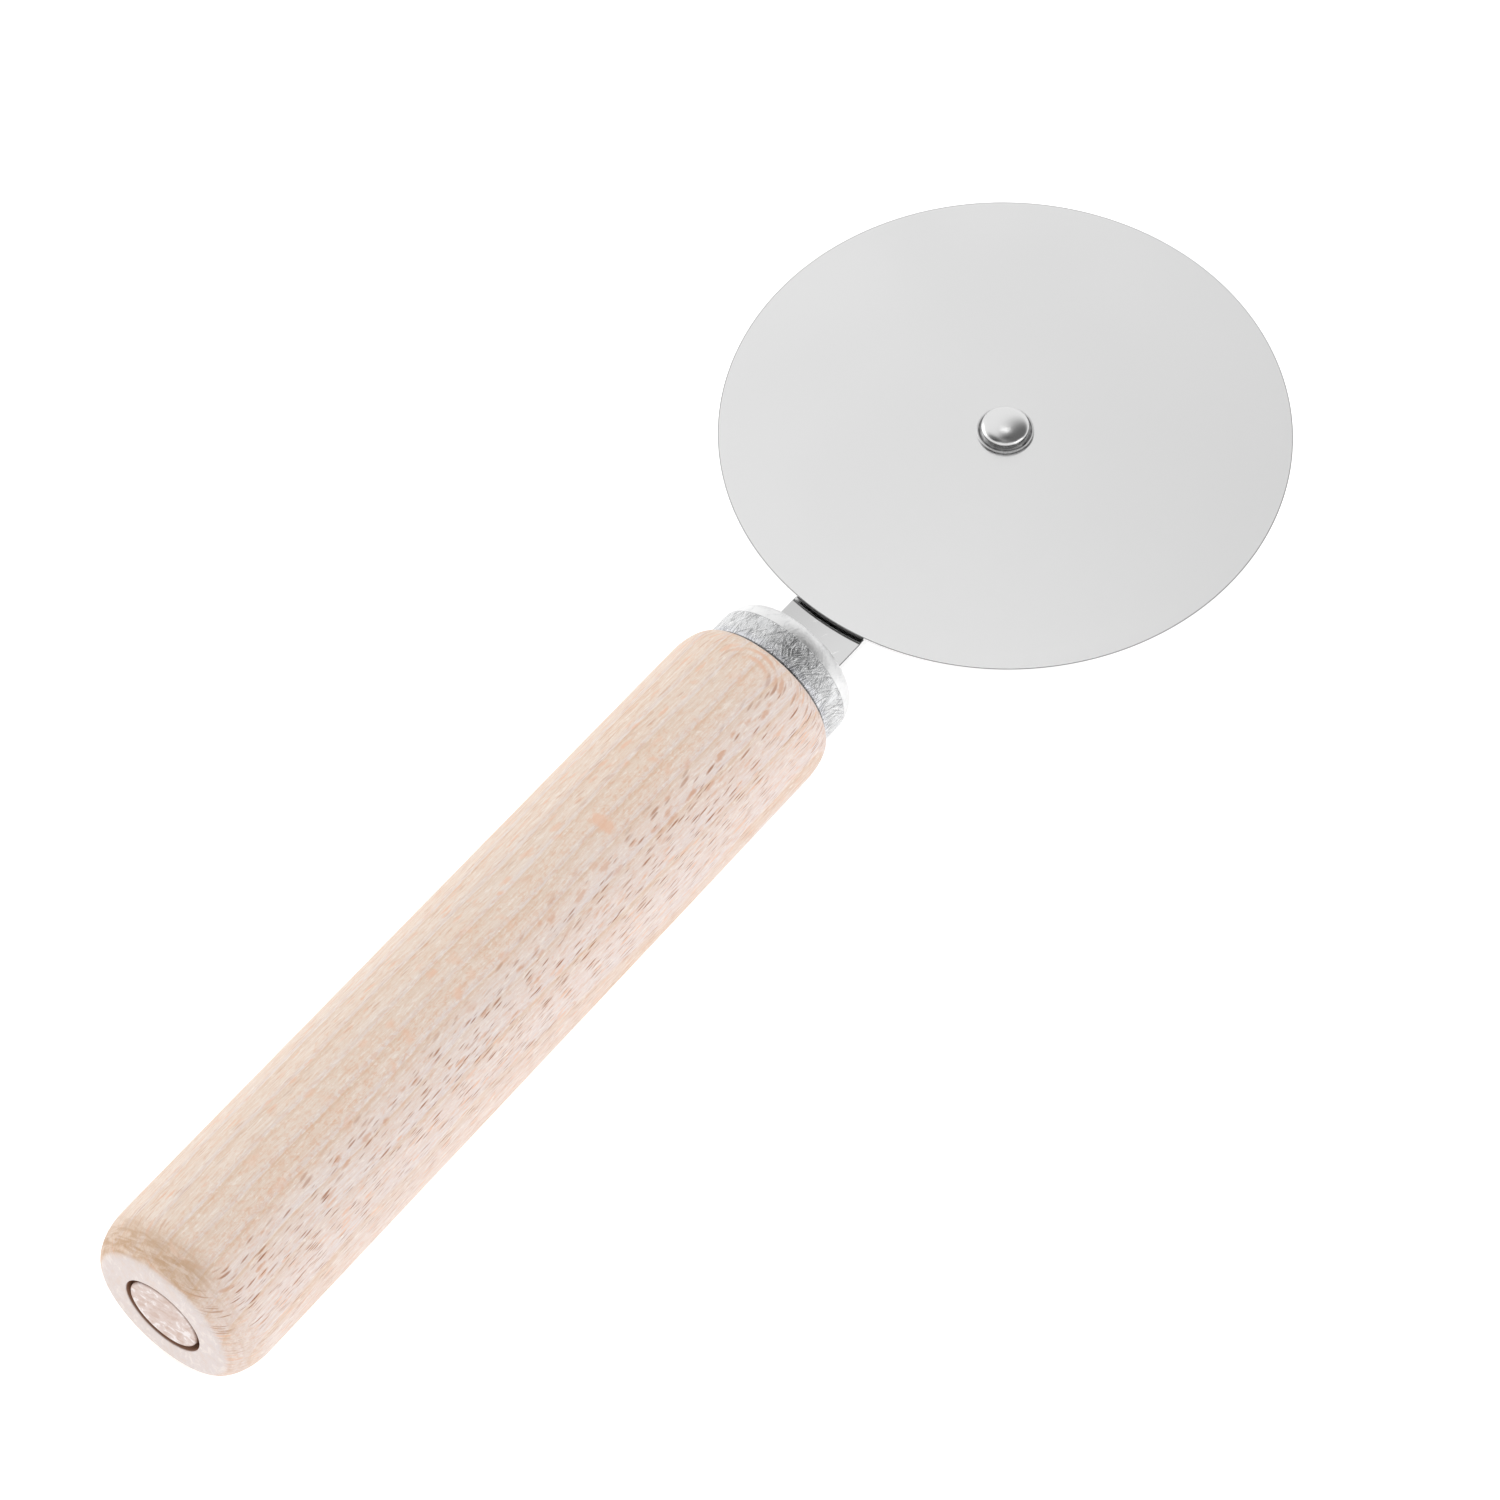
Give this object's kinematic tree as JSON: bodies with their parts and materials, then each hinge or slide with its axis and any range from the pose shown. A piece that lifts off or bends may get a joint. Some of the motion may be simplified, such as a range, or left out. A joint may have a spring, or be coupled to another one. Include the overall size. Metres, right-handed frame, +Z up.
{
  "type": "pastry cutter wheel",
  "caption": "Pastry cutter: a thin steel disc that spins on a rivet at the end of a flat arm, with a metal ferrule and a turned beech handle.",
  "frame": {"origin": "under the middle of the overall length, level with the lowest line of the handle", "axes": "+X along the handle from its butt towards the wheel, +Z up along the wheel's pivot, out of the face that carries the rivet's head, +Y across"},
  "size_m": [0.2186, 0.08, 0.0264],
  "materials": {
    "beech": "bare, fine sanded",
    "beech_plug": "bare end grain",
    "ferrule_metal": "scuffed satin",
    "arm_steel": "polished",
    "wheel_steel": "polished",
    "rivet_steel": "bright polished",
    "washer_steel": "satin",
    "plated_steel": "zinc plated"
  },
  "bodies": {
    "handle": {"handle_grip": "beech", "butt_plug": "beech_plug", "ferrule": "ferrule_metal", "arm": "arm_steel", "tang_rod": "plated_steel", "tang_washer": "plated_steel", "tang_nut": "plated_steel", "pivot_rivet": "rivet_steel", "front_washer": "washer_steel", "spacer_washer": "washer_steel", "rear_washer": "washer_steel"},
    "wheel": {"cutting_wheel": "wheel_steel"}
  },
  "joints": [
    {"name": "wheel_spin", "type": "hinge", "parent": "handle", "child": "wheel", "pos_m": [0.06925, 0, 0.01475], "axis": [0, 0, 1], "continuous": true}
  ]
}
